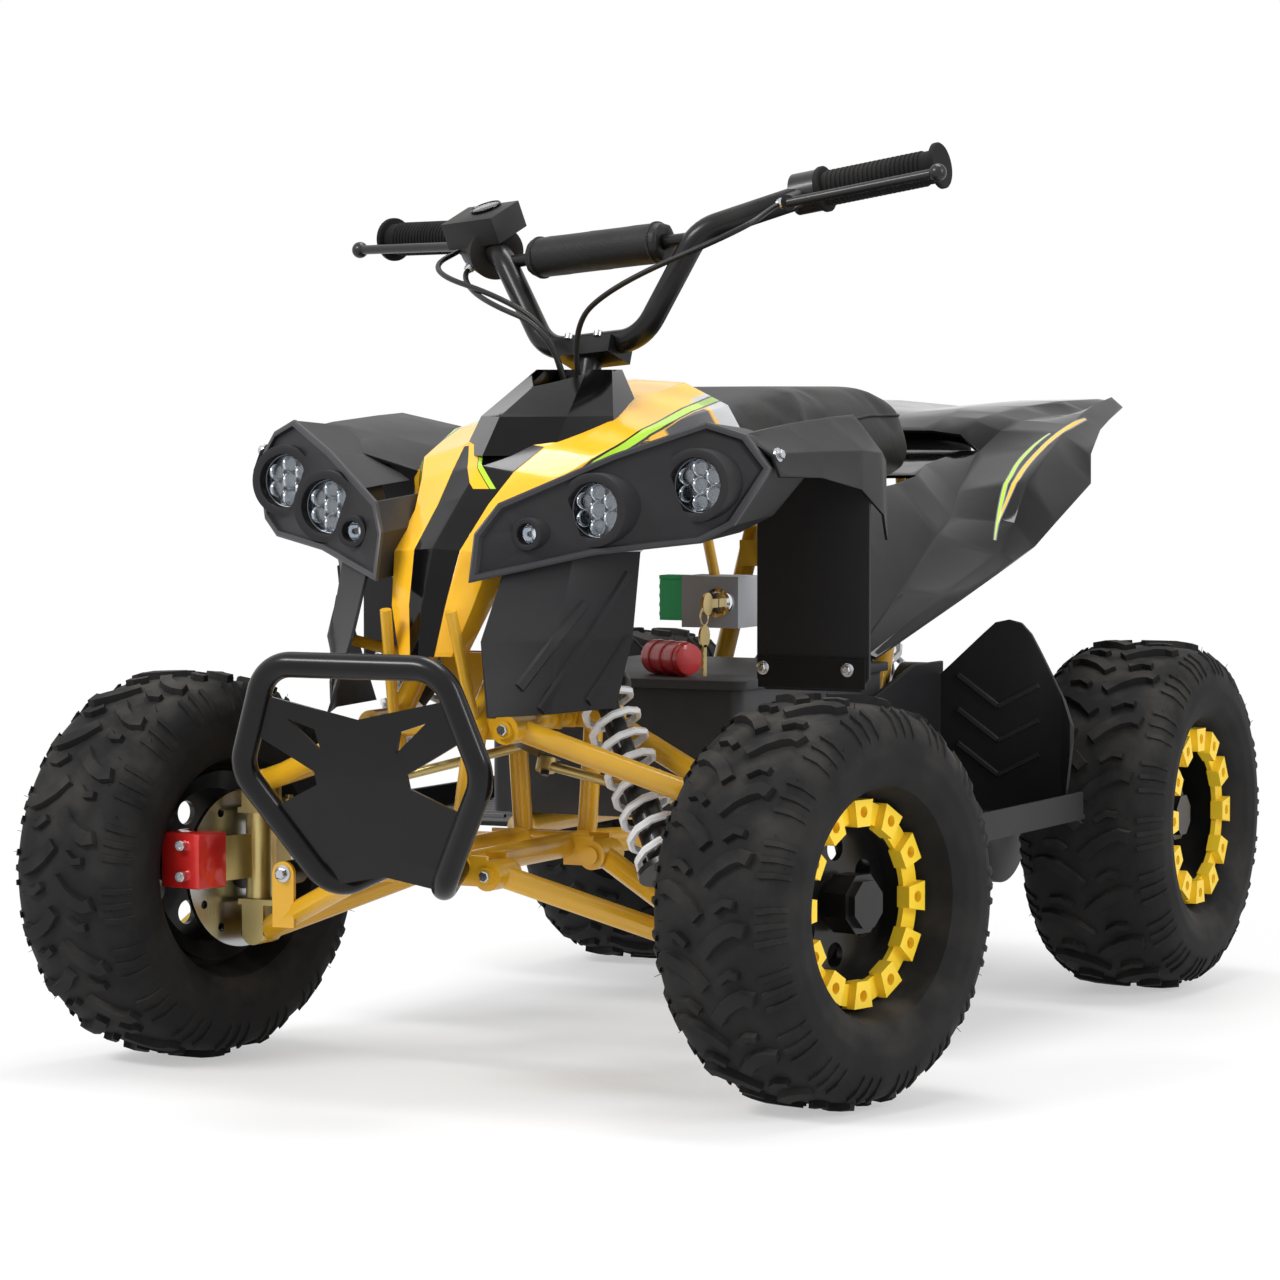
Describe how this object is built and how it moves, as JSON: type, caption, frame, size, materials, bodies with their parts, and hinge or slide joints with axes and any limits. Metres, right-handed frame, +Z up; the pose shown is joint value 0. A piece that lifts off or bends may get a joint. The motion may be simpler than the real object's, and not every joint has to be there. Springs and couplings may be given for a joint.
{
  "type": "quad bike",
  "caption": "Child's electric quad bike: steered front wheels on A-arms with coil-over dampers, live rear axle on a swing arm, tube frame, moulded body, saddle and hoop bumper.",
  "frame": {"origin": "on the ground under the middle of the bike's length and width", "axes": "+X to the rider's left, +Y to the rear, +Z up"},
  "size_m": [0.8646, 1.345, 0.8353],
  "materials": {
    "battery_plastic": "matte",
    "lever_black": "satin black",
    "caliper_red": "glossy red paint",
    "case_black": "matte",
    "cable_black": "smooth sheath",
    "motor_alloy": "cast",
    "charcoal": "matte textured",
    "frame_yellow": "glossy yellow powder coat",
    "bumper_black": "glossy black",
    "damper_black": "satin black",
    "disc_steel": "ground steel",
    "fender_black": "satin black",
    "rim_black": "satin black paint",
    "ring_yellow": "satin yellow paint",
    "spring_grey": "light grey powder coat",
    "tyre_rubber": "matte moulded rubber",
    "grip_rubber": "moulded rubber",
    "bar_black": "satin black powder coat",
    "pad_vinyl": "matte vinyl over foam",
    "lens_clear": "clear polycarbonate",
    "hood_yellow": "glossy yellow",
    "zinc_gold": "yellow-passivated zinc",
    "gloss_black": "glossy black",
    "axle_steel": "turned",
    "seat_vinyl": "matte vinyl over foam",
    "swing_black": "satin black",
    "switch_grey": "matte",
    "tail_red": "red lens",
    "control_plastic": "fine grained",
    "tape_red": "wound tape"
  },
  "bodies": {
    "chassis": {"battery_box": "battery_plastic", "battery_lid": "battery_plastic", "chain_case": "case_black", "drive_motor": "motor_alloy", "footrests": "charcoal", "frame": "frame_yellow", "front_bumper": "bumper_black", "front_dampers": "damper_black", "front_fenders": "fender_black", "front_springs": "spring_grey", "headlamp_masks": "charcoal", "headlamps": "lens_clear", "hood": "hood_yellow", "kingpin_carriers": "zinc_gold", "lower_arms": "frame_yellow", "mud_panels": "charcoal", "nose_beak": "gloss_black", "rear_body": "gloss_black", "rear_caliper": "caliper_red", "rear_dampers": "damper_black", "rear_springs": "spring_grey", "seat": "seat_vinyl", "side_shrouds": "charcoal", "steering_shroud": "gloss_black", "swingarm": "swing_black", "switch_box": "switch_grey", "tail_lamp": "tail_red", "upper_arms": "frame_yellow", "wire_bundle": "tape_red"},
    "steering": {"steering_column": "bar_black", "handlebar": "bar_black", "handlebar_pad": "pad_vinyl", "grips": "grip_rubber", "brake_levers": "lever_black", "throttle_display": "control_plastic", "control_cables": "cable_black"},
    "knuckle_left": {"knuckle_left": "zinc_gold", "caliper_left": "caliper_red"},
    "knuckle_right": {"knuckle_right": "zinc_gold", "caliper_right": "caliper_red"},
    "tie_rod_left": {"tie_rod_left": "zinc_gold"},
    "tie_rod_right": {"tie_rod_right": "zinc_gold"},
    "front_wheel_left": {"front_tyre_left": "tyre_rubber", "front_rim_left": "rim_black", "front_ring_left": "ring_yellow", "front_disc_left": "disc_steel"},
    "front_wheel_right": {"front_tyre_right": "tyre_rubber", "front_rim_right": "rim_black", "front_ring_right": "ring_yellow", "front_disc_right": "disc_steel"},
    "rear_axle": {"rear_axle": "axle_steel", "rear_disc": "disc_steel", "rear_tyres": "tyre_rubber", "rear_rims": "rim_black", "rear_rings": "ring_yellow"}
  },
  "joints": [
    {"name": "steering", "type": "hinge", "parent": "chassis", "child": "steering", "pos_m": [0, -0.205, 0.655], "axis": [0, 0.3811, 0.9245], "range_deg": [-12.1, 37.9]},
    {"name": "knuckle_left", "type": "hinge", "parent": "chassis", "child": "knuckle_left", "pos_m": [0.2435, -0.4, 0.178], "axis": [0, 0, 1], "range_deg": [-12.1, 37.9]},
    {"name": "knuckle_right", "type": "hinge", "parent": "chassis", "child": "knuckle_right", "pos_m": [-0.2435, -0.4, 0.178], "axis": [0, 0, 1], "range_deg": [-12.1, 37.9]},
    {"name": "tie_rod_left", "type": "hinge", "parent": "steering", "child": "tie_rod_left", "pos_m": [0.00893, -0.31901, 0.27608], "axis": [0, 0.3811, 0.9245], "range_deg": [-37.9, 12.1]},
    {"name": "tie_rod_right", "type": "hinge", "parent": "steering", "child": "tie_rod_right", "pos_m": [0.00893, -0.30963, 0.29883], "axis": [0, 0.3811, 0.9245], "range_deg": [-37.9, 12.1]},
    {"name": "front_wheel_left", "type": "hinge", "parent": "knuckle_left", "child": "front_wheel_left", "pos_m": [0.32928, -0.41965, 0.178], "axis": [0.9748, -0.2233, 0], "continuous": true},
    {"name": "front_wheel_right", "type": "hinge", "parent": "knuckle_right", "child": "front_wheel_right", "pos_m": [-0.32928, -0.38035, 0.178], "axis": [0.9748, -0.2233, 0], "continuous": true},
    {"name": "rear_axle", "type": "hinge", "parent": "chassis", "child": "rear_axle", "pos_m": [0, 0.48, 0.178], "axis": [1, 0, 0], "continuous": true}
  ],
  "couplings": [
    {"joint": "knuckle_left", "follows": "steering", "ratio": 1},
    {"joint": "knuckle_right", "follows": "steering", "ratio": 1},
    {"joint": "tie_rod_left", "follows": "steering", "ratio": -1},
    {"joint": "tie_rod_right", "follows": "steering", "ratio": -1}
  ]
}
